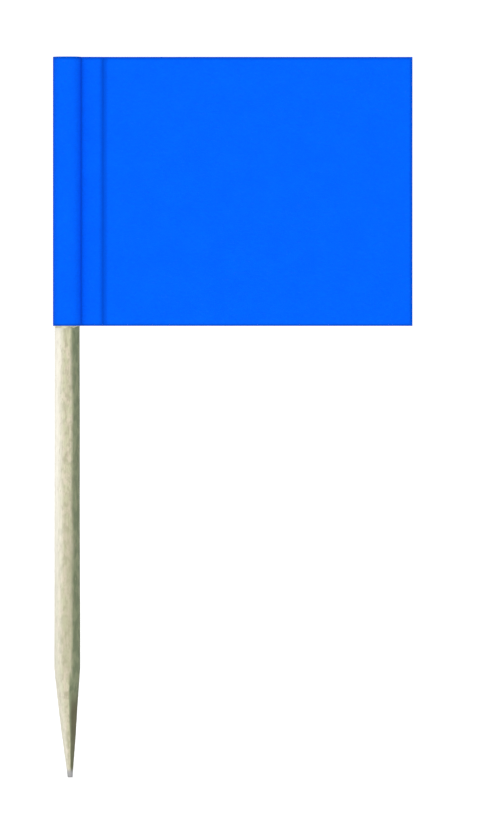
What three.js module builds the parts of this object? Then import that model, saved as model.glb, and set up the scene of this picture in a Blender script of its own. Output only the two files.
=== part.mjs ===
// Cocktail-stick flag: a small rectangle of blue paper wrapped round the upper end of a pointed wooden
// stick and glued back on itself. Millimetres, +Z up the stick, +X towards the flag's fly edge, -Y towards
// the side with the tab. The origin is at the stick's lower point, which is pushed into whatever holds it.
import * as THREE from "three";

// ---- Driving dimensions -------------------------------------------------------------------------

// Stick: a turned birch pin with one point
const stickLength = 67.5;
const stickRadius = 1.18; // where the paper is wrapped round it
const shoulderRadius = 1.23; // the pin swells a little towards the point's shoulder
const pointLength = 10.3;
const pointTipRadius = 0.25; // the point is blunt
const pointSkew = 0.28; // the point was cut off-centre, towards the fly
const pointFullness = 1.2; // 1 is a straight cone, more is a convex one
const endChamfer = 0.15;

// Paper: one rectangular sheet, wrapped once round the stick
const paperThickness = 0.12;
const flagHeight = 25.4;
const flagWidth = 33.95; // from the wrapped edge to the fly edge
const paperAboveStick = 0.5; // the paper's top edge stands this far above the stick's end
const creaseRadius = 0.15; // at the paper's middle, where each ply turns away from the stick
const tabLength = 1.95; // flat part of the tab, from the crease to its free edge

// Glue: a film round the stick and a film under the tab
const glueThickness = 0.04;
const bondClearance = 0.005; // left between a film and each face that it bonds
const glueMargin = 0.5; // the films stop this far short of the paper's edges
const gluedArcStart = 0.3; // angle in radians, from the fly side, where the film round the stick begins

// The strip of single paper beside the tab, which flexes
const flexReach = 2.3; // from the tab's edge to the strip's middle, on which the free leaf turns
const flexGap = 0.15; // between the wrapped part and the free leaf, with that line in its middle

const roundStep = Math.PI / 24; // angle between the points of a round stretch
const pointRings = 10; // rings of points along the stick's point

// ---- Sizes worked out from them -----------------------------------------------------------------

const filmGap = glueThickness + 2 * bondClearance;
const flagTopZ = stickLength + paperAboveStick;
const flagBottomZ = flagTopZ - flagHeight;

const sleeveInnerRadius = stickRadius + filmGap;
const sleeveMiddleRadius = sleeveInnerRadius + paperThickness / 2;
const sleeveOuterRadius = sleeveInnerRadius + paperThickness;

const plyMiddleY = (filmGap + paperThickness) / 2; // the leaf's ply is at +y and the tab's at -y
const creaseY = plyMiddleY + creaseRadius;
const creaseX = Math.sqrt((sleeveMiddleRadius + creaseRadius) ** 2 - creaseY ** 2);
const creaseAngle = Math.atan2(creaseY, creaseX);

const tabEdgeX = creaseX + tabLength;
const flexX = tabEdgeX + flexReach;
const flyX = flagWidth - sleeveOuterRadius;

// ---- Materials ----------------------------------------------------------------------------------

const wood = new THREE.MeshStandardMaterial({ color: 0xcfc6a2, roughness: 0.75, metalness: 0 });
const bluePaper = new THREE.MeshStandardMaterial({ color: 0x0066ff, roughness: 0.85, metalness: 0 });
const driedGlue = new THREE.MeshStandardMaterial({ color: 0xe8e4d6, roughness: 0.3, metalness: 0 });

// ---- Helpers ------------------------------------------------------------------------------------

// Points along an arc in the XY plane, both ends included.
function arc(centreX, centreY, radius, from, to) {
  const steps = Math.max(2, Math.ceil(Math.abs(to - from) / roundStep));
  return Array.from({ length: steps + 1 }, (_, i) => {
    const angle = from + ((to - from) * i) / steps;
    return new THREE.Vector2(centreX + radius * Math.cos(angle), centreY + radius * Math.sin(angle));
  });
}

// A closed outline in the XY plane, extruded from one height to another.
function extrudeUp(outline, fromZ, toZ) {
  const options = { depth: toZ - fromZ, bevelEnabled: false, steps: 1 };
  return new THREE.ExtrudeGeometry(new THREE.Shape(outline), options).translate(0, 0, fromZ);
}

// A block between two corners.
function block(from, to) {
  const size = to.clone().sub(from);
  const centre = from.clone().add(to).multiplyScalar(0.5);
  return new THREE.BoxGeometry(size.x, size.y, size.z).translate(centre.x, centre.y, centre.z);
}

function piece(name, geometry, material) {
  const mesh = new THREE.Mesh(geometry, material);
  mesh.name = name;
  return mesh;
}

// ---- Stick --------------------------------------------------------------------------------------

// The radius of the point at a height between its blunt tip and its shoulder.
function pointRadius(z) {
  const share = 1 - (1 - z / pointLength) ** pointFullness;
  return pointTipRadius + (shoulderRadius - pointTipRadius) * share;
}

function woodStick() {
  const point = Array.from({ length: pointRings + 1 }, (_, i) => {
    const z = (pointLength * i) / pointRings;
    return new THREE.Vector2(pointRadius(z), z);
  });
  const profile = [
    new THREE.Vector2(0, 0),
    ...point,
    new THREE.Vector2(stickRadius, flagBottomZ),
    new THREE.Vector2(stickRadius, stickLength - endChamfer),
    new THREE.Vector2(stickRadius - endChamfer, stickLength),
    new THREE.Vector2(0, stickLength),
  ];
  const geometry = new THREE.LatheGeometry(profile, Math.round((2 * Math.PI) / roundStep));
  geometry.rotateX(Math.PI / 2);

  // Shear the point sideways, so that its tip lies off the stick's axis.
  const position = geometry.attributes.position;
  for (let i = 0; i < position.count; i++) {
    const share = Math.max(0, 1 - position.getZ(i) / pointLength);
    position.setX(i, position.getX(i) + pointSkew * share);
  }
  return piece("wood_stick", geometry, wood);
}

// ---- Paper --------------------------------------------------------------------------------------

// The wrapped end of the sheet: the leaf's ply comes in at the back from the flexing line, turns at the
// crease, goes round the stick, turns back at the other crease and ends as the tab. One closed outline, out
// along one face and home along the other.
function paperHoist() {
  const outer = paperThickness / 2;
  const turn = 2 * Math.PI;
  const leafPlyEndX = flexX - flexGap / 2;
  const outwardFace = [
    new THREE.Vector2(leafPlyEndX, plyMiddleY + outer),
    ...arc(creaseX, creaseY, creaseRadius - outer, 0.75 * turn, 0.5 * turn + creaseAngle),
    ...arc(0, 0, sleeveOuterRadius, creaseAngle, turn - creaseAngle),
    ...arc(creaseX, -creaseY, creaseRadius - outer, 0.5 * turn - creaseAngle, 0.25 * turn),
    new THREE.Vector2(tabEdgeX, -plyMiddleY - outer),
  ];
  const inwardFace = [
    new THREE.Vector2(tabEdgeX, -plyMiddleY + outer),
    ...arc(creaseX, -creaseY, creaseRadius + outer, 0.25 * turn, 0.5 * turn - creaseAngle),
    ...arc(0, 0, sleeveInnerRadius, turn - creaseAngle, creaseAngle),
    ...arc(creaseX, creaseY, creaseRadius + outer, 0.5 * turn + creaseAngle, 0.75 * turn),
    new THREE.Vector2(leafPlyEndX, plyMiddleY - outer),
  ];
  const outline = [...outwardFace, ...inwardFace];
  return piece("paper_hoist", extrudeUp(outline, flagBottomZ, flagTopZ), bluePaper);
}

// The free leaf, in the plane of the back ply.
function paperLeaf() {
  const nearFace = plyMiddleY - paperThickness / 2;
  const from = new THREE.Vector3(flexX + flexGap / 2, nearFace, flagBottomZ);
  const to = new THREE.Vector3(flyX, nearFace + paperThickness, flagTopZ);
  return piece("paper_leaf", block(from, to), bluePaper);
}

// ---- Glue ---------------------------------------------------------------------------------------

// A C-shaped film between the stick and the paper that is wrapped round it.
function stickGlue() {
  const innerRadius = stickRadius + bondClearance;
  const start = gluedArcStart;
  const end = 2 * Math.PI - gluedArcStart;
  const outwardFace = arc(0, 0, innerRadius + glueThickness, start, end);
  const inwardFace = arc(0, 0, innerRadius, end, start);
  const outline = [...outwardFace, ...inwardFace];
  const top = stickLength - endChamfer - glueMargin;
  return piece("stick_glue", extrudeUp(outline, flagBottomZ + glueMargin, top), driedGlue);
}

// A flat film between the tab and the leaf's ply.
function tabGlue() {
  const from = new THREE.Vector3(creaseX, -glueThickness / 2, flagBottomZ + glueMargin);
  const to = new THREE.Vector3(tabEdgeX - glueMargin / 2, glueThickness / 2, flagTopZ - glueMargin);
  return piece("tab_glue", block(from, to), driedGlue);
}

// ---- The flag -----------------------------------------------------------------------------------

const flag = new THREE.Group();
flag.add(woodStick(), paperHoist(), paperLeaf(), stickGlue(), tabGlue());

export default flag;
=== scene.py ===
"""A cocktail-stick flag: a birch stick with one point, and one sheet of blue paper that is wrapped round
the stick's upper end and glued back on itself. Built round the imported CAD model, in its frame: metres,
+Z up the stick, +X towards the flag's fly edge, -Y towards the side on which the glued tab shows."""

import math

import bpy
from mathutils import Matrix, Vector, noise
from mathutils.bvhtree import BVHTree


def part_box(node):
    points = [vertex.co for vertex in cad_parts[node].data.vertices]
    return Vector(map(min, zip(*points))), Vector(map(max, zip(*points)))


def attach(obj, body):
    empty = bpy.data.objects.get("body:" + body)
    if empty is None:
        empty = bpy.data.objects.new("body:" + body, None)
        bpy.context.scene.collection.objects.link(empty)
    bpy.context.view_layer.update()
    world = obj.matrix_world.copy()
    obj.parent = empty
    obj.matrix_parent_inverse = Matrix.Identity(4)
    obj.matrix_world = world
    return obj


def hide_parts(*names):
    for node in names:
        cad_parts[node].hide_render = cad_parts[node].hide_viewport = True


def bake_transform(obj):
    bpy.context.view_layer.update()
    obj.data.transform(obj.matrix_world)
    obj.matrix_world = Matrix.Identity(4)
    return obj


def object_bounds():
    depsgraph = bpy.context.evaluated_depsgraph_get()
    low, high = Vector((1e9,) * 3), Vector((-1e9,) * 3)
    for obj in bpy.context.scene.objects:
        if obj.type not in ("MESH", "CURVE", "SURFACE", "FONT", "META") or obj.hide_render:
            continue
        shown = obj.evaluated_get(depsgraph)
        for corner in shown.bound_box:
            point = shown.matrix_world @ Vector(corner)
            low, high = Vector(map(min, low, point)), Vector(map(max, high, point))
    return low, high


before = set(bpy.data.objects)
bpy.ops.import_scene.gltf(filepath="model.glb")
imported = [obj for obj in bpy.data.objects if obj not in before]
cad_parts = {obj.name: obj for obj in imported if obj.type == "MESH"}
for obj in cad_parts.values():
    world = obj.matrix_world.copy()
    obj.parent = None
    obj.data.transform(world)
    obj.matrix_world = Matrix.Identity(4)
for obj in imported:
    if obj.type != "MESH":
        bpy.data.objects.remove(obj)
cad_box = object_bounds()


# ---- Camera -------------------------------------------------------------------------------------
# It looks straight at the flag along +Y, just above the middle of the object, through a long lens that
# keeps the edges square. The object stands a little left of the middle of the frame.

MM = 0.001
VIEW_HEIGHT = 77.13 * MM  # what the frame's long side covers at the flag
LENS_MM = 500.0
AIM_RIGHT = 1.63 * MM  # the frame's middle, from the middle of the object
AIM_UP = 0.8 * MM

bpy.ops.object.camera_add()
camera = bpy.context.object
camera.name = "camera"
camera.data.lens = LENS_MM
camera.data.clip_start = 0.01
middle = (cad_box[0] + cad_box[1]) / 2
distance = VIEW_HEIGHT * LENS_MM / camera.data.sensor_width
camera.location = (middle.x + AIM_RIGHT, -distance, middle.z + AIM_UP)
camera.rotation_euler = (math.radians(90), 0, 0)
bpy.context.scene.camera = camera


# ---- Wooden stick -------------------------------------------------------------------------------
# A birch pin, rolled round and left unvarnished, with its grain running along it. The lower end is
# ground to a long blunt point, a little off-centre and faceted. The upper end is sawn square with a
# small chamfer, inside the paper.

STICK_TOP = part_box("wood_stick")[1].z
FLAG_BOTTOM, FLAG_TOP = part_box("paper_hoist")[0].z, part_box("paper_hoist")[1].z
SHOULDER_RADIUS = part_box("wood_stick")[1].y
GLUE_THICKNESS = 0.04 * MM
GLUE_CLEARANCE = 0.005 * MM  # between the glue and the stick
STICK_RADIUS = -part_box("stick_glue")[0].x - GLUE_THICKNESS - GLUE_CLEARANCE  # where the paper is
POINT_LENGTH = 10.3 * MM
POINT_TIP_RADIUS = 0.25 * MM
POINT_SKEW = 0.28 * MM  # how far the tip lies off the stick's axis, towards the fly side
POINT_FULLNESS = 1.2  # 1 is a straight cone, more is a convex one
POINT_BANDS = 12  # straight stretches that the point's curve is made of
POINT_FACETS = 7
FACET_DEPTH = 0.8  # 0 is round, 1 is a sharp-edged pencil point
FACET_FADE = 3  # they reach that depth a third of the point's length below the shoulder
FACET_EDGE = math.radians(-81)  # one of the edges between facets, from the fly side
END_CHAMFER = 0.15 * MM
STICK_SIDES = 96
END_INSETS = 7  # rings of faces in each flat end
RING_PITCH = 0.13 * MM  # between the rings of the finished mesh

SWELL = (1.6 * MM, 1.6 * MM, 14 * MM)  # one slow wave of its skin: across, across and along the stick
SWELL_DEPTH = 0.05 * MM
GROOVE = (0.16 * MM, 0.16 * MM, 6 * MM)  # one groove of the grain
GROOVE_DEPTH = 0.03 * MM
END_RELIEF = 0.3  # the sawn end's share of these two depths
GRIND_MARK = (2 * MM, 2 * MM, 0.22 * MM)  # one scratch of the grinding wheel, round the point
GRIND_DEPTH = 0.018 * MM
GRIND_TOP = POINT_LENGTH * 1.1  # the scratches begin just above the shoulder
GRIND_FADE = 2 * MM  # and come in over this length below it
WANDER = 0.3  # how far the borders of its coloured streaks stray, as a share of the stick's radius


def deselect_all():
    """Leaves edit mode if need be, and selects nothing."""
    if bpy.context.object and bpy.context.object.mode == "EDIT":
        bpy.ops.object.mode_set(mode="OBJECT")
    bpy.ops.object.select_all(action="DESELECT")


def settle(piece, name):
    """Names a piece, makes it the one selected, and puts its place, turn and scale into its mesh."""
    deselect_all()
    piece.select_set(True)
    bpy.context.view_layer.objects.active = piece
    bpy.ops.object.transform_apply(location=True, rotation=True, scale=True)
    piece.name = name
    piece.data.name = name


def apply_modifier(piece, modifier):
    bpy.context.view_layer.objects.active = piece
    bpy.ops.object.modifier_apply(modifier=modifier.name)


def select_edges(piece, chosen):
    """In edit mode, selects the edges for which chosen(one end, other end) is true."""
    bpy.ops.mesh.select_all(action="DESELECT")
    bpy.ops.mesh.select_mode(type="EDGE")
    bpy.ops.object.mode_set(mode="OBJECT")
    points = piece.data.vertices
    for edge in piece.data.edges:
        edge.select = chosen(points[edge.vertices[0]].co, points[edge.vertices[1]].co)
    bpy.ops.object.mode_set(mode="EDIT")


def weigh(piece, name, weight):
    """Gives a piece a vertex group, with weight(point) from 0 to 1 at each point."""
    group = piece.vertex_groups.new(name=name)
    for vertex in piece.data.vertices:
        group.add([vertex.index], min(1, max(0, weight(vertex.co))), "REPLACE")


def roughen(piece, lump, depth, group, hard=False):
    """Moves the skin of a vertex group in and out by a relief whose lumps measure lump = (x, y, z)."""
    texture = bpy.data.textures.new("relief", "CLOUDS")
    texture.noise_scale = 1
    texture.noise_depth = 2
    texture.noise_type = "HARD_NOISE" if hard else "SOFT_NOISE"
    bpy.ops.object.empty_add()
    scale_holder = bpy.context.object
    scale_holder.scale = lump
    bpy.context.view_layer.update()
    modifier = piece.modifiers.new("relief", "DISPLACE")
    modifier.texture = texture
    modifier.texture_coords = "OBJECT"
    modifier.texture_coords_object = scale_holder
    modifier.strength = depth
    modifier.vertex_group = group
    apply_modifier(piece, modifier)
    bpy.data.objects.remove(scale_holder)
    bpy.data.textures.remove(texture)


def point_radius(z):
    """The radius of the stick's point at a height."""
    share = 1 - (1 - z / POINT_LENGTH) ** POINT_FULLNESS
    return POINT_TIP_RADIUS + (SHOULDER_RADIUS - POINT_TIP_RADIUS) * share


def ring_centre(z):
    """The middle of the stick at a height: the point leans over towards its tip."""
    return POINT_SKEW * max(0, 1 - z / POINT_LENGTH)


def pin_rings():
    """The plain pin's rings of points from the tip to the sawn end, as (height, radius)."""
    heights = [POINT_LENGTH * i / POINT_BANDS for i in range(POINT_BANDS + 1)]
    point = [(z, point_radius(z)) for z in heights]
    shank = [
        (FLAG_BOTTOM, STICK_RADIUS),
        (STICK_TOP - END_CHAMFER, STICK_RADIUS),
        (STICK_TOP, STICK_RADIUS - END_CHAMFER),
    ]
    return point + shank


def extrude_pin(rings):
    """A disc at the tip, extruded ring by ring up to the sawn end. It is left in edit mode."""
    deselect_all()
    bpy.ops.mesh.primitive_circle_add(
        vertices=STICK_SIDES, radius=POINT_TIP_RADIUS, fill_type="NGON", location=(POINT_SKEW, 0, 0)
    )
    pin = bpy.context.object
    settle(pin, "wooden_stick")
    bpy.ops.object.mode_set(mode="EDIT")
    bpy.ops.mesh.select_all(action="SELECT")
    for (z, radius), (next_z, next_radius) in zip(rings, rings[1:]):
        lean = ring_centre(next_z) - ring_centre(z)
        bpy.ops.mesh.extrude_region_move(TRANSFORM_OT_translate={"value": (lean, 0, next_z - z)})
        ratio = next_radius / radius
        centre = (ring_centre(next_z), 0, next_z)
        bpy.ops.transform.resize(value=(ratio, ratio, 1), center_override=centre)
    return pin


def divide_end(pin, z, radius):
    """In edit mode, cuts the flat end face at a height into narrow rings round a fan."""
    bpy.ops.mesh.select_all(action="DESELECT")
    bpy.ops.mesh.select_mode(type="FACE")
    bpy.ops.object.mode_set(mode="OBJECT")
    for face in pin.data.polygons:
        face.select = len(face.vertices) == STICK_SIDES and abs(face.center.z - z) < RING_PITCH / 4
    bpy.ops.object.mode_set(mode="EDIT")
    for i in range(END_INSETS):
        bpy.ops.mesh.inset(thickness=radius / (END_INSETS + 1))
    bpy.ops.mesh.poke()


def divide_bands(pin, rings):
    """In edit mode, cuts the tall bands between the rings into low ones."""
    slack = RING_PITCH / 4
    for (z, _), (next_z, _) in zip(rings, rings[1:]):
        cuts = round((next_z - z) / RING_PITCH) - 1
        if cuts > 0:
            select_edges(pin, lambda a, b: abs(a.z + b.z - z - next_z) < slack and abs(a.z - b.z) > slack)
            bpy.ops.mesh.subdivide(number_cuts=cuts)


def turned_pin():
    """The plain pin, round and smooth, with a mesh that is fine enough for its relief."""
    rings = pin_rings()
    pin = extrude_pin(rings)
    for z, radius in (rings[-1], rings[0]):
        divide_end(pin, z, radius)
    bpy.ops.mesh.select_all(action="SELECT")
    bpy.ops.mesh.normals_make_consistent(inside=False)
    divide_bands(pin, rings)
    bpy.ops.object.mode_set(mode="OBJECT")
    return pin


def facet_point(pin):
    """Flattens the ground point into a few shallow facets that fade out at the shoulder."""
    facet = 2 * math.pi / POINT_FACETS
    for vertex in pin.data.vertices:
        place = vertex.co
        share = max(0, 1 - place.z / POINT_LENGTH)
        centre = ring_centre(place.z)
        across = place.x - centre
        turn = (math.atan2(place.y, across) - FACET_EDGE) % facet - facet / 2
        flat = math.cos(facet / 2) / math.cos(turn)
        ratio = 1 + FACET_DEPTH * min(1, FACET_FADE * share) * (flat - 1)
        place.x = centre + across * ratio
        place.y *= ratio


stick = turned_pin()
facet_point(stick)
weigh(stick, "skin", lambda p: 1 if p.z < STICK_TOP - 2 * END_CHAMFER else END_RELIEF)
weigh(stick, "point", lambda p: (GRIND_TOP - p.z) / GRIND_FADE)
roughen(stick, SWELL, SWELL_DEPTH, "skin")
roughen(stick, GROOVE, GROOVE_DEPTH, "skin", hard=True)
roughen(stick, GRIND_MARK, GRIND_DEPTH, "point", hard=True)
stick.vertex_groups.clear()
for face in stick.data.polygons:
    face.use_smooth = True


def add_node(tree, kind, **settings):
    """Adds a shader node and sets its properties."""
    node = tree.nodes.new("ShaderNode" + kind)
    for name, value in settings.items():
        setattr(node, name, value)
    return node


def new_material(name, roughness, specular):
    """A material, with its tree and its Principled shader."""
    material = bpy.data.materials.new(name)
    material.use_nodes = True
    shader = material.node_tree.nodes["Principled BSDF"]
    shader.inputs["Roughness"].default_value = roughness
    shader.inputs["Specular IOR Level"].default_value = specular
    return material, material.node_tree, shader


def stretched_noise(tree, place, lump, detail=3.0, roughness=0.5, distortion=0.0, offset=(0, 0, 0)):
    """A noise whose lumps measure lump = (x, y, z) in the place socket's own units."""
    mapping = add_node(tree, "Mapping")
    mapping.inputs["Location"].default_value = offset
    mapping.inputs["Scale"].default_value = [1 / size for size in lump]
    pattern = add_node(tree, "TexNoise")
    pattern.inputs["Scale"].default_value = 1
    pattern.inputs["Detail"].default_value = detail
    pattern.inputs["Roughness"].default_value = roughness
    pattern.inputs["Distortion"].default_value = distortion
    tree.links.new(place, mapping.inputs["Vector"])
    tree.links.new(mapping.outputs["Vector"], pattern.inputs["Vector"])
    return pattern.outputs["Fac"]


def map_range(tree, value, low, high, to_low=0.0, to_high=1.0, smooth=True):
    """Takes a value from the range low..high to to_low..to_high, and holds it there."""
    node = add_node(tree, "MapRange", interpolation_type="SMOOTHSTEP" if smooth else "LINEAR")
    for name, number in (("From Min", low), ("From Max", high), ("To Min", to_low), ("To Max", to_high)):
        node.inputs[name].default_value = number
    tree.links.new(value, node.inputs["Value"])
    return node.outputs["Result"]


def math_node(tree, operation, first, second):
    """Adds, multiplies or compares two sockets or numbers."""
    node = add_node(tree, "Math", operation=operation)
    for slot, value in zip(node.inputs, (first, second)):
        if isinstance(value, (int, float)):
            slot.default_value = value
        else:
            tree.links.new(value, slot)
    return node.outputs["Value"]


def mix_colours(tree, share, first, second):
    """Mixes two colours or colour sockets by a socket."""
    node = add_node(tree, "Mix", data_type="RGBA")
    slots = {slot.identifier: slot for slot in node.inputs}
    tree.links.new(share, slots["Factor_Float"])
    for name, value in (("A_Color", first), ("B_Color", second)):
        if isinstance(value, tuple):
            slots[name].default_value = (*value, 1)
        else:
            tree.links.new(value, slots[name])
    return next(out for out in node.outputs if out.identifier == "Result_Color")


def add_bump(tree, shader, height, depth, under=None):
    """Feeds a height socket into the shader's normal, over another bump if there is one."""
    bump = add_node(tree, "Bump")
    bump.inputs["Strength"].default_value = 1
    bump.inputs["Distance"].default_value = depth
    tree.links.new(height, bump.inputs["Height"])
    if under:
        tree.links.new(under.outputs["Normal"], bump.inputs["Normal"])
    tree.links.new(bump.outputs["Normal"], shader.inputs["Normal"])
    return bump


def grain(tree, place, across, along, **settings):
    """A noise stretched along the stick, whose lumps measure across by along millimetres."""
    return stretched_noise(tree, place, (across * MM, across * MM, along * MM), **settings)


def faces_towards(tree, place, azimuth, near, far):
    """1 where the stick's side faces an azimuth (0 is the near side, 90 the fly side), fading out from
    near to far degrees away from it. The leaning point is measured from its own middle."""
    axes = add_node(tree, "SeparateXYZ")
    tree.links.new(place, axes.inputs["Vector"])
    lean = map_range(tree, axes.outputs["Z"], 0, POINT_LENGTH, POINT_SKEW, 0, smooth=False)
    centre = add_node(tree, "CombineXYZ")
    tree.links.new(lean, centre.inputs["X"])
    tree.links.new(axes.outputs["Z"], centre.inputs["Z"])
    outward = add_node(tree, "VectorMath", operation="SUBTRACT")
    tree.links.new(place, outward.inputs[0])
    tree.links.new(centre.outputs["Vector"], outward.inputs[1])
    unit = add_node(tree, "VectorMath", operation="NORMALIZE")
    tree.links.new(outward.outputs["Vector"], unit.inputs[0])
    facing = add_node(tree, "VectorMath", operation="DOT_PRODUCT")
    tree.links.new(unit.outputs["Vector"], facing.inputs[0])
    turn = math.radians(azimuth)
    facing.inputs[1].default_value = (math.sin(turn), -math.cos(turn), 0)
    wander = grain(tree, place, 0.9, 7, detail=2, offset=(azimuth, 0, 0))
    stray = math_node(tree, "MULTIPLY", wander, WANDER)
    value = math_node(tree, "ADD", facing.outputs["Value"], stray)
    low = math.cos(math.radians(far)) + WANDER / 2
    high = math.cos(math.radians(near)) + WANDER / 2
    return map_range(tree, value, low, high)


WOOD_PINK = (0.595, 0.535, 0.41)
WOOD_GREEN = (0.515, 0.51, 0.345)
WOOD_KHAKI = (0.36, 0.345, 0.23)
WOOD_FLECK = (0.33, 0.285, 0.20)
# Painted light for the side of the stick that faces the key light.
WOOD_PAINTED_LIGHT = (0.84, 0.81, 0.71)
# Painted shade for the stick's fly side, which faces away from the key light.
WOOD_PAINTED_SHADE = (0.11, 0.148, 0.078)
WOOD_PAINTED_SHADE_PALER = (0.177, 0.21, 0.12)
# Painted shade for the shaded side of the point.
WOOD_POINT_SHADE = (0.10, 0.09, 0.05)
WOOD_TIP_GREY = (0.33, 0.33, 0.34)
END_GRAIN_DARK = (0.30, 0.25, 0.16)

# What faces_towards takes: each coloured side's azimuth and the two ends of its fading border, in
# degrees. The first three and the last are painted light and shade: light on the side away from the flag,
# shade on the fly side and on the point.
PAINTED_LIGHT_SIDE = (-85, 20, 78)
PAINTED_SHADE_SIDE = (68, 33, 56)
POINT_SHADE_WIDENING = (54, 40, 51)
BAND_SIDE = (14, 15, 42)
DARK_POINT_SHADE_SIDE = (64, 40, 56)

# Heights above the tip between which the colours come in
PAINTED_LIGHT_RISE = (9 * MM, 30 * MM)
POINT_DROP = (10.6 * MM, 9 * MM)
BAND_DROP = (32 * MM, 20 * MM)
POINT_SHADE_DROP = (8.6 * MM, 6.2 * MM)
POINT_SHADE_RISE = (1.5 * MM, 5.5 * MM)
GREY_DROP = (0.95 * MM, 0.35 * MM)
END_GRAIN_RISE = (STICK_TOP - 0.12 * MM, STICK_TOP - 0.04 * MM)


def clean_wood(tree, place, blotch, fibre):
    """The wood's own colour: pink and green blotches, with khaki shades and fibres in them."""
    shade = grain(tree, place, 0.4, 0.7, detail=2, offset=(3, 5, 7))
    colour = mix_colours(tree, map_range(tree, blotch, 0.38, 0.62), WOOD_PINK, WOOD_GREEN)
    colour = mix_colours(tree, map_range(tree, shade, 0.42, 0.68, 0, 0.75), colour, WOOD_KHAKI)
    return mix_colours(tree, map_range(tree, fibre, 0.42, 0.7, 0, 0.35), colour, WOOD_KHAKI)


def painted_light_side(tree, place, height, colour):
    """Painted light: a paler colour on the side away from the flag, which faces the key light. It fades
    towards the point.
    """
    strength = map_range(tree, height, *PAINTED_LIGHT_RISE, 0.5, 0.95)
    painted_light = math_node(tree, "MULTIPLY", faces_towards(tree, place, *PAINTED_LIGHT_SIDE), strength)
    return mix_colours(tree, painted_light, colour, WOOD_PAINTED_LIGHT)


def painted_shade_side(tree, place, height, blotch, colour):
    """Painted shade: a dark olive colour on the fly side, which faces away from the key light, wider on
    the point; and a faint khaki band low on the shank.
    """
    on_point = map_range(tree, height, *POINT_DROP)
    low_down = map_range(tree, height, *BAND_DROP, 0, 0.45)
    low_shank = math_node(tree, "MULTIPLY", low_down, math_node(tree, "SUBTRACT", 1, on_point))
    band = math_node(tree, "MULTIPLY", faces_towards(tree, place, *BAND_SIDE), low_shank)
    colour = mix_colours(tree, band, colour, WOOD_KHAKI)
    shade_on_point = math_node(tree, "MULTIPLY", faces_towards(tree, place, *POINT_SHADE_WIDENING), on_point)
    shaded_side = math_node(tree, "MAXIMUM", faces_towards(tree, place, *PAINTED_SHADE_SIDE), shade_on_point)
    shade_colour = mix_colours(tree, map_range(tree, blotch, 0.4, 0.64), WOOD_PAINTED_SHADE, WOOD_PAINTED_SHADE_PALER)
    return mix_colours(tree, math_node(tree, "MULTIPLY", shaded_side, 0.92), colour, shade_colour)


def point_shade_and_grey_tip(tree, place, height, colour):
    """Painted shade, dark, on the fly side of the point, and the greyed tip."""
    low_down = map_range(tree, height, *POINT_SHADE_DROP, 0, 0.85)
    point_shade = math_node(tree, "MULTIPLY", low_down, faces_towards(tree, place, *DARK_POINT_SHADE_SIDE))
    above_tip = map_range(tree, height, *POINT_SHADE_RISE, 0.75, 1)
    colour = mix_colours(tree, math_node(tree, "MULTIPLY", point_shade, above_tip), colour, WOOD_POINT_SHADE)
    greyed = map_range(tree, height, *GREY_DROP, 0, 0.9)
    return mix_colours(tree, greyed, colour, WOOD_TIP_GREY)


def end_grain(tree, place):
    """The sawn end: growth rings round a middle that lies well outside the stick, and open pores."""
    spread = add_node(tree, "Mapping")
    spread.inputs["Location"].default_value = (9, 4, 0)
    spread.inputs["Scale"].default_value = (0.9 / MM, 0.9 / MM, 0)
    rings = add_node(tree, "TexWave", wave_type="RINGS", rings_direction="Z")
    rings.inputs["Scale"].default_value = 1
    rings.inputs["Distortion"].default_value = 1.5
    tree.links.new(place, spread.inputs["Vector"])
    tree.links.new(spread.outputs["Vector"], rings.inputs["Vector"])
    late_wood = map_range(tree, rings.outputs["Fac"], 0, 1, 0, 0.5)
    colour = mix_colours(tree, late_wood, WOOD_KHAKI, END_GRAIN_DARK)
    pore = grain(tree, place, 0.07, 0.5, detail=1, offset=(2, 2, 2))
    return mix_colours(tree, map_range(tree, pore, 0.58, 0.7, 0, 0.7), colour, END_GRAIN_DARK)


def birch():
    """Pale birch, with fine dark hairs and flecks over its blotches, and painted light and shade on its
    sides.
    """
    material, tree, shader = new_material("birch_wood", 0.7, 0.25)
    place = add_node(tree, "TexCoord").outputs["Object"]
    axes = add_node(tree, "SeparateXYZ")
    tree.links.new(place, axes.inputs["Vector"])
    height = axes.outputs["Z"]
    blotch = grain(tree, place, 0.55, 0.95, detail=2, distortion=0.3)
    fibre = grain(tree, place, 0.16, 2.2, detail=3, roughness=0.55, distortion=0.3)
    fleck = grain(tree, place, 0.14, 0.6, detail=2, offset=(8, 1, 4))
    hair = grain(tree, place, 0.055, 1.4, detail=2, roughness=0.6, offset=(1, 6, 2))
    pore = grain(tree, place, 0.05, 0.4, detail=2)
    colour = clean_wood(tree, place, blotch, fibre)
    # Painted light on the side that faces the key light.
    colour = painted_light_side(tree, place, height, colour)
    # Painted shade on the fly side, wider on the point.
    colour = painted_shade_side(tree, place, height, blotch, colour)
    colour = mix_colours(tree, map_range(tree, hair, 0.5, 0.68, 0, 0.3), colour, WOOD_FLECK)
    colour = mix_colours(tree, map_range(tree, fleck, 0.62, 0.76, 0, 0.55), colour, WOOD_FLECK)
    # Painted shade on the point's fly side. The grey tip is the wood's own colour.
    colour = point_shade_and_grey_tip(tree, place, height, colour)
    at_end = map_range(tree, height, *END_GRAIN_RISE)
    colour = mix_colours(tree, at_end, colour, end_grain(tree, place))
    tree.links.new(colour, shader.inputs["Base Color"])
    tree.links.new(map_range(tree, fibre, 0.3, 0.7, 0.6, 0.82), shader.inputs["Roughness"])
    under = add_bump(tree, shader, hair, 0.02 * MM)
    add_bump(tree, shader, pore, 0.01 * MM, under)
    return material


stick.data.materials.append(birch())
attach(stick, "stick")
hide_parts("wood_stick")


# ---- Paper flag ---------------------------------------------------------------------------------
# One rectangle of blue paper, dyed right through. It is laid with its back against the stick, wrapped
# round it and pressed down on itself, so that a narrow tab shows on the near side and two pressed lines
# run down beside the stick.

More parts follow.
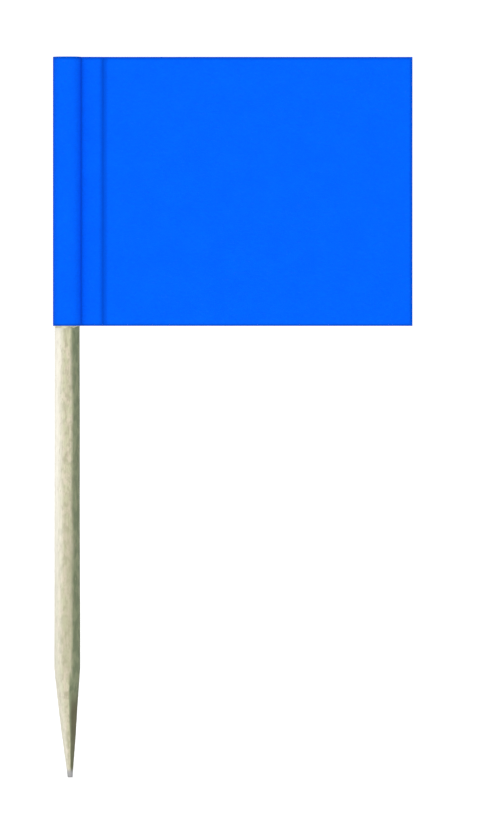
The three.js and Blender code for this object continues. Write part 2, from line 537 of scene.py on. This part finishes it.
FLAG_HEIGHT = FLAG_TOP - FLAG_BOTTOM
SLEEVE_OUTSIDE = -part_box("paper_hoist")[0].x
FLY_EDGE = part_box("paper_leaf")[1].x
PAPER_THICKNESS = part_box("paper_leaf")[1].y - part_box("paper_leaf")[0].y
PLY_MIDDLE = (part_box("paper_leaf")[1].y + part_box("paper_leaf")[0].y) / 2  # the tab's ply is opposite
CREASE_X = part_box("tab_glue")[0].x
GLUE_SHORT_OF_TAB = 0.25 * MM
TAB_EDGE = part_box("tab_glue")[1].x + GLUE_SHORT_OF_TAB
CREASE_RADIUS = 0.15 * MM

SLEEVE_MIDDLE = SLEEVE_OUTSIDE - PAPER_THICKNESS / 2
CREASE_Y = PLY_MIDDLE + CREASE_RADIUS
CREASE_ANGLE = math.atan2(CREASE_Y, CREASE_X)

COLUMN_PITCH = 0.33 * MM
LINE_PITCH = 0.07 * MM  # near the creases and the tab's edge
ROW_PITCH = 0.3 * MM
EDGE_BEVEL = 0.03 * MM
EDGE_FULLNESS = 0.55  # share of the paper's thickness that its very edges have

CURL = 0.45 * MM  # how far the fly edge's lower corner stands back
UPPER_CURL = 0.4  # share of it at the upper corner
CURL_START = 1 * MM  # the leaf is flat as far as this from the tab's edge
CURL_FREE = 9 * MM  # from here on it is quite free
COCKLE = 0.10 * MM  # waves that damp air has left in the leaf
COCKLE_LENGTH = 9 * MM
COCKLE_STRETCH = 0.8  # they are longer up the leaf than along it
COCKLE_SLICE = 0.4  # of the noise that they are taken from
PRESS_DEPTH = 0.02 * MM  # of the line that the tab's edge is pressed into the leaf
PRESS_WIDTH = 0.3 * MM
SLEEVE_SQUARENESS = 0.07
FEATHER_WIDTH = 0.32 * MM  # the tab's edge is crushed thin and pressed down over this width
FEATHER_OUTER = 0.08 * MM  # how far its outward face goes down
FEATHER_INNER = 0.03 * MM  # and its inward face


def smoothstep(value, low, high):
    share = min(1, max(0, (value - low) / (high - low)))
    return share * share * (3 - 2 * share)


def straight(from_x, to_x, y, pitch):
    """Points of the sheet's middle along X, without the last one."""
    steps = max(1, round(abs(to_x - from_x) / pitch))
    return [(from_x + (to_x - from_x) * i / steps, y) for i in range(steps)]


def bend(centre, radius_at, start, end, pitch):
    """Points along an arc, without the last one. radius_at gives the radius at a share of the arc."""
    steps = max(4, round(radius_at(0) * abs(end - start) / pitch))
    points = []
    for i in range(steps):
        angle = start + (end - start) * i / steps
        reach = radius_at(i / steps)
        points.append((centre[0] + reach * math.cos(angle), centre[1] + reach * math.sin(angle)))
    return points


def crease_radius(share):
    return CREASE_RADIUS


def sleeve_radius(share):
    """The stiff paper doesn't quite follow the stick: it stands off a little between its four sides."""
    return SLEEVE_MIDDLE * (1 + SLEEVE_SQUARENESS * math.sin(4 * math.pi * share) ** 2)


def sheet_section():
    """The middle of the sheet, seen from above, from the fly edge round the stick to the tab's edge.
    Also gives how many of its points lie in the leaf."""
    turn = 2 * math.pi
    back, front = (CREASE_X, CREASE_Y), (CREASE_X, -CREASE_Y)
    section = straight(FLY_EDGE, TAB_EDGE + CURL_START, PLY_MIDDLE, COLUMN_PITCH)
    section += straight(TAB_EDGE + CURL_START, CREASE_X, PLY_MIDDLE, LINE_PITCH)
    leaf_columns = len(section)
    section += bend(back, crease_radius, 0.75 * turn, 0.5 * turn + CREASE_ANGLE, LINE_PITCH / 2)
    section += bend((0, 0), sleeve_radius, CREASE_ANGLE, turn - CREASE_ANGLE, 2 * LINE_PITCH)
    section += bend(front, crease_radius, 0.5 * turn - CREASE_ANGLE, 0.25 * turn, LINE_PITCH / 2)
    section += straight(CREASE_X, TAB_EDGE, -PLY_MIDDLE, LINE_PITCH)
    return section + [(TAB_EDGE, -PLY_MIDDLE)], leaf_columns


def ways_out(section):
    """At each point of the section, the direction straight out of the sheet's outward face."""
    outs = []
    for i in range(len(section)):
        (x, y), (next_x, next_y) = section[max(0, i - 1)], section[min(len(section) - 1, i + 1)]
        run = math.hypot(next_x - x, next_y - y)
        outs.append(((next_y - y) / run, (x - next_x) / run))
    return outs


def distances_along(section):
    """How far each point of the section is from the fly edge, measured along the sheet."""
    distances = [0.0]
    for (x, y), (next_x, next_y) in zip(section, section[1:]):
        distances.append(distances[-1] + math.hypot(next_x - x, next_y - y))
    return distances


def sheet_levels():
    """The heights of the sheet's rows of points, each with the share of its thickness there."""
    inner_height = FLAG_HEIGHT - 2 * EDGE_BEVEL
    rows = round(inner_height / ROW_PITCH)
    levels = [(FLAG_BOTTOM + EDGE_BEVEL + inner_height * i / rows, 1.0) for i in range(rows + 1)]
    return [(FLAG_BOTTOM, EDGE_FULLNESS)] + levels + [(FLAG_TOP, EDGE_FULLNESS)]


def tab_press(x, face):
    """How far a face of the tab is pressed down towards the leaf, over its last stretch."""
    share = smoothstep(x, TAB_EDGE - FEATHER_WIDTH, TAB_EDGE)
    return (FEATHER_OUTER if face == 1 else FEATHER_INNER) * share


def leaf_lift(x, z):
    """How far the leaf stands back from its plane: a slow curl, a faint cockle and the pressed line."""
    free = smoothstep(x, TAB_EDGE + CURL_START, TAB_EDGE + CURL_FREE)
    reach = (x - TAB_EDGE) / (FLY_EDGE - TAB_EDGE)
    low_corner = 1 - (1 - UPPER_CURL) * (z - FLAG_BOTTOM) / FLAG_HEIGHT
    wave = noise.noise(Vector((x / COCKLE_LENGTH, COCKLE_SLICE, z / COCKLE_LENGTH * COCKLE_STRETCH)))
    from_line = (x - TAB_EDGE - PRESS_WIDTH / 2) / PRESS_WIDTH
    pressed = PRESS_DEPTH * math.exp(-4 * from_line**2)
    return free * (CURL * reach**2 * low_corner + COCKLE * wave) + pressed


def sheet_faces(count, rows):
    """The sheet's faces, for rows of points that go out along count columns and home along as many."""
    ring = 2 * count
    faces = []
    for row in range(rows - 1):
        for i in range(ring):
            a, b = row * ring + i, row * ring + (i + 1) % ring
            faces.append((a, a + ring, b + ring, b))
    last = (rows - 1) * ring
    for i in range(count - 1):
        faces.append((i, i + 1, ring - 2 - i, ring - 1 - i))
        faces.append((last + i, last + ring - 1 - i, last + ring - 2 - i, last + i + 1))
    return faces


def build_sheet():
    """The closed sheet, row by row: out along its outward face (1), round the tab's edge, and home along
    its inward face (-1). Its UV map is the flat sheet. Also gives the flat sheet's length."""
    section, leaf_columns = sheet_section()
    outs, distances = ways_out(section), distances_along(section)
    levels = sheet_levels()
    count = len(section)
    around = [(i, 1) for i in range(count)] + [(i, -1) for i in reversed(range(count))]
    points, on_sheet, inward = [], [], []
    for z, fullness in levels:
        for i, face in around:
            (x, y), (out_x, out_y) = section[i], outs[i]
            share = fullness * EDGE_FULLNESS if i in (0, count - 1) else fullness
            half = PAPER_THICKNESS / 2 * share * face
            lift = 0
            if i < leaf_columns:
                lift = leaf_lift(x, z)
            elif x > CREASE_X and y < 0:
                lift = tab_press(x, face)
            points.append((x + out_x * half, y + out_y * half + lift, z))
            on_sheet.append((distances[i] / distances[-1], (z - FLAG_BOTTOM) / FLAG_HEIGHT))
            inward.append(max(0, -face))
    mesh = bpy.data.meshes.new("paper_flag")
    mesh.from_pydata(points, [], sheet_faces(count, len(levels)))
    sheet = bpy.data.objects.new("paper_flag", mesh)
    bpy.context.collection.objects.link(sheet)
    uv_map = mesh.uv_layers.new(name="sheet")
    for loop in mesh.loops:
        uv_map.data[loop.index].uv = on_sheet[loop.vertex_index]
    mesh.attributes.new("inward_face", "FLOAT", "POINT").data.foreach_set("value", inward)
    return sheet, distances[-1]


flag, sheet_length = build_sheet()
settle(flag, "paper_flag")
bpy.ops.object.mode_set(mode="EDIT")
bpy.ops.mesh.select_all(action="SELECT")
bpy.ops.mesh.normals_make_consistent(inside=False)
bpy.ops.object.mode_set(mode="OBJECT")
bpy.ops.object.shade_smooth_by_angle(angle=math.radians(35))

PAPER_BLUE = (0.0, 0.095, 0.79)
PAPER_LIGHT = (0.0, 0.112, 0.87)
LINT_BLUE = (0.02, 0.15, 0.90)
EDGE_BLUE = (0.0, 0.064, 0.50)
# Painted shade for the creases, the tab's edge and the far side of the wrap.
CREASE_SHADE_BLUE = (0.0, 0.052, 0.47)
SHEET_MM = (sheet_length / MM, FLAG_HEIGHT / MM)
LINE_CORE = 0.04  # millimetres on each side of a pressed line's middle, where it is darkest
TAB_LINE_SHIFT = 0.15  # millimetres from the tab's edge to the middle of its line on the leaf
CREASE_LINE_SHIFT = 0.3  # millimetres from the flat tab to the middle of the crease's line


def line_on_sheet(tree, value, place, width, strength):
    """A soft line at a place along or up the sheet, as wide as 2 * width, all in millimetres."""
    away = math_node(tree, "ABSOLUTE", math_node(tree, "SUBTRACT", value, place), 0)
    return map_range(tree, away, width, LINE_CORE, 0, strength)


def strongest(tree, lines):
    """At each point, the strongest of some lines."""
    most = lines[0]
    for line in lines[1:]:
        most = math_node(tree, "MAXIMUM", most, line)
    return most


def paper_noise(tree, sheet, along, up, **settings):
    """A noise on the flat sheet whose lumps measure along by up millimetres."""
    return stretched_noise(tree, sheet, (along / SHEET_MM[0], up / SHEET_MM[1], 1), **settings)


def cut_edges(tree, along, up):
    """The sheet's four cut edges, which look a little darker."""
    lines = [
        line_on_sheet(tree, up, 0, 0.3, 1.0),
        line_on_sheet(tree, up, SHEET_MM[1], 0.4, 1.0),
        line_on_sheet(tree, along, 0, 0.4, 1.0),
        line_on_sheet(tree, along, SHEET_MM[0], 0.15, 0.35),
    ]
    return strongest(tree, lines)


def painted_crease_shade(tree, along, inward):
    """Painted shade: soft dark lines on the leaf beside the tab's edge, and on the outward face at the
    tab's edge, at its crease, and on the side of the wrap away from the leaf, where the round wrap turns
    away from the light."""
    outward = math_node(tree, "SUBTRACT", 1, inward)
    tab_on_leaf = (FLY_EDGE - TAB_EDGE) / MM - TAB_LINE_SHIFT
    tab_crease = SHEET_MM[0] - (TAB_EDGE - CREASE_X) / MM - CREASE_LINE_SHIFT
    sleeve_left = (tab_crease + (FLY_EDGE - CREASE_X) / MM) / 2
    lines = [
        math_node(tree, "MULTIPLY", line_on_sheet(tree, along, tab_on_leaf, 0.42, 0.5), inward),
        math_node(tree, "MULTIPLY", line_on_sheet(tree, along, SHEET_MM[0], 0.5, 0.5), outward),
        math_node(tree, "MULTIPLY", line_on_sheet(tree, along, tab_crease, 0.42, 0.62), outward),
        math_node(tree, "MULTIPLY", line_on_sheet(tree, along, sleeve_left, 1.7, 0.62), outward),
    ]
    return strongest(tree, lines)


def blue_paper():
    """Matt blue paper with faint fibres, lint and clouding."""
    material, tree, shader = new_material("blue_paper", 0.9, 0.03)
    sheet = add_node(tree, "UVMap", uv_map="sheet").outputs["UV"]
    axes = add_node(tree, "SeparateXYZ")
    tree.links.new(sheet, axes.inputs["Vector"])
    along = math_node(tree, "MULTIPLY", axes.outputs["X"], SHEET_MM[0])
    up = math_node(tree, "MULTIPLY", axes.outputs["Y"], SHEET_MM[1])
    cloud = paper_noise(tree, sheet, 2.4, 2.4, detail=3)
    fibre = paper_noise(tree, sheet, 0.34, 0.16, detail=4, roughness=0.65, distortion=1.2)
    tooth = paper_noise(tree, sheet, 0.09, 0.09, detail=2)
    lint = paper_noise(tree, sheet, 0.4, 0.05, detail=2, distortion=2.5)
    clouds = math_node(tree, "MULTIPLY", cloud, 0.25)
    mottle = math_node(tree, "ADD", clouds, math_node(tree, "MULTIPLY", fibre, 0.75))
    colour = mix_colours(tree, map_range(tree, mottle, 0.36, 0.64), PAPER_BLUE, PAPER_LIGHT)
    colour = mix_colours(tree, map_range(tree, lint, 0.62, 0.74, 0, 0.5), colour, LINT_BLUE)
    colour = mix_colours(tree, cut_edges(tree, along, up), colour, EDGE_BLUE)
    inward = add_node(tree, "Attribute", attribute_name="inward_face").outputs["Fac"]
    # Painted shade along the crease, at and beside the tab's edge, and on the far side of the wrap.
    colour = mix_colours(tree, painted_crease_shade(tree, along, inward), colour, CREASE_SHADE_BLUE)
    tree.links.new(colour, shader.inputs["Base Color"])
    tree.links.new(map_range(tree, fibre, 0.3, 0.7, 0.82, 0.95), shader.inputs["Roughness"])
    under = add_bump(tree, shader, fibre, 0.025 * MM)
    add_bump(tree, shader, tooth, 0.012 * MM, under)
    return material


flag.data.materials.append(blue_paper())
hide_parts("paper_hoist", "paper_leaf")
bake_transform(flag)


# ---- Glue under the wrapped paper ---------------------------------------------------------------
# White glue, rolled on before the paper and dried clear to a pale amber. It is a thin film between the
# paper and the stick, open at the creases. Below the paper, a little was squeezed out in an uneven bead.

FILM_INSIDE = STICK_RADIUS + GLUE_CLEARANCE
FILM_OUTSIDE = -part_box("stick_glue")[0].x
FILM_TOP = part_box("stick_glue")[1].z
GLUED_FROM = 0.3  # radians, from the fly side
BEAD_TOP = FLAG_BOTTOM - 0.01 * MM
BEAD_HEIGHT = 0.32 * MM
BEAD_WIDTH = 0.09 * MM
BEAD_FEATHER = 0.008 * MM  # how thick it is where it ends
BEAD_LEAST = 0.15  # share of its height that it has where hardly any was squeezed out
BEAD_AT_CREASES = 0.35  # share of the bead that there is beside the creases
CREASE_REACH = 2  # radians from the fly side, where there is all of it again
BEAD_STEPS = 10
PORE_DEPTH = 0.01 * MM  # how far the bead sinks into the wood
TOUCHING = 0.001 * MM  # anything nearer than this touches
SPIN_STEPS = 180


def glue_profile():
    """The film and its bead in section, as (radius, height): up the inside, then down the outside."""
    film = [
        (FILM_INSIDE, BEAD_TOP - BEAD_HEIGHT),
        (FILM_INSIDE, FILM_TOP),
        (FILM_OUTSIDE, FILM_TOP),
        (FILM_OUTSIDE, BEAD_TOP),
    ]
    bead = []
    for i in range(BEAD_STEPS + 1):
        share = i / BEAD_STEPS
        reach = BEAD_FEATHER + (BEAD_WIDTH - BEAD_FEATHER) * (1 - share) ** 2
        bead.append((FILM_INSIDE + reach, BEAD_TOP - BEAD_HEIGHT * share))
    return film + bead


def build_glue():
    """The section, spun round the stick."""
    profile = glue_profile()
    deselect_all()
    bpy.ops.mesh.primitive_circle_add(vertices=len(profile), radius=MM, fill_type="NGON")
    film = bpy.context.object
    for vertex, (radius, z) in zip(film.data.vertices, profile):
        vertex.co = (radius * math.cos(GLUED_FROM), radius * math.sin(GLUED_FROM), z)
    settle(film, "sleeve_glue")
    bpy.ops.object.mode_set(mode="EDIT")
    bpy.ops.mesh.select_all(action="SELECT")
    bpy.ops.mesh.spin(
        steps=SPIN_STEPS,
        angle=2 * (math.pi - GLUED_FROM),
        center=(0, 0, 0),
        axis=(0, 0, 1),
        use_normal_flip=False,
    )
    bpy.ops.mesh.select_all(action="SELECT")
    bpy.ops.mesh.normals_make_consistent(inside=False)
    bpy.ops.object.mode_set(mode="OBJECT")
    return film


def bead_amount(outward):
    """How much of the bead there is on one side of the stick, from 0 to 1."""
    amount = 0.5 + 0.75 * noise.noise(outward * 1.7) + 0.2 * noise.noise(outward * 4)
    from_creases = smoothstep(abs(math.atan2(outward.y, outward.x)), GLUED_FROM, CREASE_REACH)
    amount *= BEAD_AT_CREASES + (1 - BEAD_AT_CREASES) * from_creases
    return min(1, max(BEAD_LEAST, amount))


def smear_bead(film):
    """Lays the bead on the stick's uneven skin."""
    skin = BVHTree.FromPolygons(
        [vertex.co for vertex in stick.data.vertices], [face.vertices for face in stick.data.polygons]
    )
    for vertex in film.data.vertices:
        place = vertex.co
        drop = BEAD_TOP - place.z
        if drop < TOUCHING:
            continue
        outward = Vector((place.x, place.y, 0))
        thickness = outward.length - FILM_INSIDE
        outward.normalize()
        amount = bead_amount(outward)
        place.z = BEAD_TOP - drop * amount
        hit = skin.ray_cast(outward * 3 * MM + Vector((0, 0, place.z)), -outward)[0]
        if thickness < TOUCHING:
            thickness = -PORE_DEPTH
        radius = math.hypot(hit.x, hit.y) + thickness * (0.5 + 0.5 * amount)
        place.x, place.y = outward.x * radius, outward.y * radius


glue = build_glue()
smear_bead(glue)
bpy.ops.object.shade_smooth_by_angle(angle=math.radians(40))

GLUE_CLEAR = (0.66, 0.62, 0.44)
GLUE_AMBER = (0.54, 0.49, 0.31)


def dried_glue():
    """Dried white glue: glossy, pale amber where it is thin and darker where it has pooled."""
    material, tree, shader = new_material("dried_glue", 0.3, 0.5)
    place = add_node(tree, "TexCoord").outputs["Object"]
    pool = grain(tree, place, 0.4, 0.4, detail=2)
    ripple = grain(tree, place, 0.12, 0.2, detail=2)
    colour = mix_colours(tree, map_range(tree, pool, 0.35, 0.65), GLUE_CLEAR, GLUE_AMBER)
    tree.links.new(colour, shader.inputs["Base Color"])
    tree.links.new(map_range(tree, pool, 0.3, 0.7, 0.25, 0.45), shader.inputs["Roughness"])
    shader.inputs["Subsurface Weight"].default_value = 0.2
    shader.inputs["Subsurface Radius"].default_value = (0.3, 0.2, 0.1)
    shader.inputs["Subsurface Scale"].default_value = 0.5 * MM
    add_bump(tree, shader, ripple, 0.01 * MM)
    return material


white_glue = dried_glue()
glue.data.materials.append(white_glue)
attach(glue, "stick")
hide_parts("stick_glue")


# ---- Glue under the tab -------------------------------------------------------------------------
# The same glue, pressed to a thin film between the tab and the leaf. It stops just short of the paper's
# edges, with an uneven border.

TAB_FILM_LOW, TAB_FILM_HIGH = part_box("tab_glue")
TAB_FILM_ROW_CUTS = 80
TAB_FILM_CUTS = 3  # of every face after that, both ways
BORDER_UNEVENNESS = 0.12 * MM
BORDER_WAVE = 0.7 * MM


def build_tab_glue():
    """A plane cut into a fine grid, with its border drawn in unevenly, and then given its thickness."""
    deselect_all()
    centre = (TAB_FILM_LOW + TAB_FILM_HIGH) / 2
    size = TAB_FILM_HIGH - TAB_FILM_LOW
    bpy.ops.mesh.primitive_plane_add(size=1, location=centre, rotation=(math.pi / 2, 0, 0))
    film = bpy.context.object
    film.scale = (size.x, size.z, 1)
    settle(film, "tab_glue_film")
    bpy.ops.object.mode_set(mode="EDIT")
    select_edges(film, lambda a, b: abs(a.z - b.z) > size.x)
    bpy.ops.mesh.subdivide(number_cuts=TAB_FILM_ROW_CUTS)
    bpy.ops.mesh.select_all(action="SELECT")
    bpy.ops.mesh.subdivide(number_cuts=TAB_FILM_CUTS)
    bpy.ops.object.mode_set(mode="OBJECT")
    for vertex in film.data.vertices:
        place = vertex.co
        from_centre = (place - centre) * 2
        ragged = BORDER_UNEVENNESS * (0.5 + 0.5 * noise.noise(place / BORDER_WAVE))
        place.x -= ragged * from_centre.x / size.x
        place.z -= ragged * from_centre.z / size.z
    thicken = film.modifiers.new("thickness", "SOLIDIFY")
    thicken.thickness = size.y
    thicken.offset = 0
    apply_modifier(film, thicken)
    return film


tab_film = build_tab_glue()
tab_film.data.materials.append(white_glue)
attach(tab_film, "stick")
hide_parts("tab_glue")


# ---- Floor and light ----------------------------------------------------------------------------
# A wide pale floor just under the point, and four soft distant lights: the brightest from the left, a
# weak one from the right, one from above and one from behind. An even white surround fills the rest.

FLOOR_SIZE = 8.0
FLOOR_WHITE = (0.97, 0.97, 0.97, 1)
FLOOR_DROP = 0.02 * MM
SURROUND_LIGHT = 0.4  # what lights the object
SURROUND_SEEN = 1.1  # what the camera sees

deselect_all()
bpy.ops.mesh.primitive_plane_add(size=FLOOR_SIZE, location=(0, 0, -FLOOR_DROP))
floor = bpy.context.object
floor.name = "floor"
paint, _, paint_shader = new_material("pale_floor", 0.9, 0.1)
paint_shader.inputs["Base Color"].default_value = FLOOR_WHITE
floor.data.materials.append(paint)


def add_sun(name, azimuth, elevation, strength, softness):
    """A distant light. Azimuth 0 shines from the camera's side and -90 from its left, in degrees."""
    turn, height = math.radians(azimuth), math.radians(elevation)
    bpy.ops.object.light_add(type="SUN")
    sun = bpy.context.object
    sun.name = name
    level = math.cos(height)
    towards = Vector((math.sin(turn) * level, -math.cos(turn) * level, math.sin(height)))
    sun.rotation_euler = towards.to_track_quat("Z", "Y").to_euler()
    sun.data.energy = strength
    sun.data.angle = math.radians(softness)


add_sun("key_light", -28, 34, 1.5, 40)
add_sun("fill_light", 40, 25, 0.45, 50)
add_sun("top_light", 10, 84, 1.2, 50)
add_sun("back_light", 150, 30, 0.8, 60)

world = bpy.data.worlds.new("studio")
bpy.context.scene.world = world
world.use_nodes = True
sky = world.node_tree.nodes["Background"]
sky.inputs["Color"].default_value = (1, 1, 1, 1)
seen = add_node(world.node_tree, "LightPath").outputs["Is Camera Ray"]
glow = map_range(world.node_tree, seen, 0, 1, SURROUND_LIGHT, SURROUND_SEEN, smooth=False)
world.node_tree.links.new(glow, sky.inputs["Strength"])
bpy.context.scene.view_settings.view_transform = "Standard"
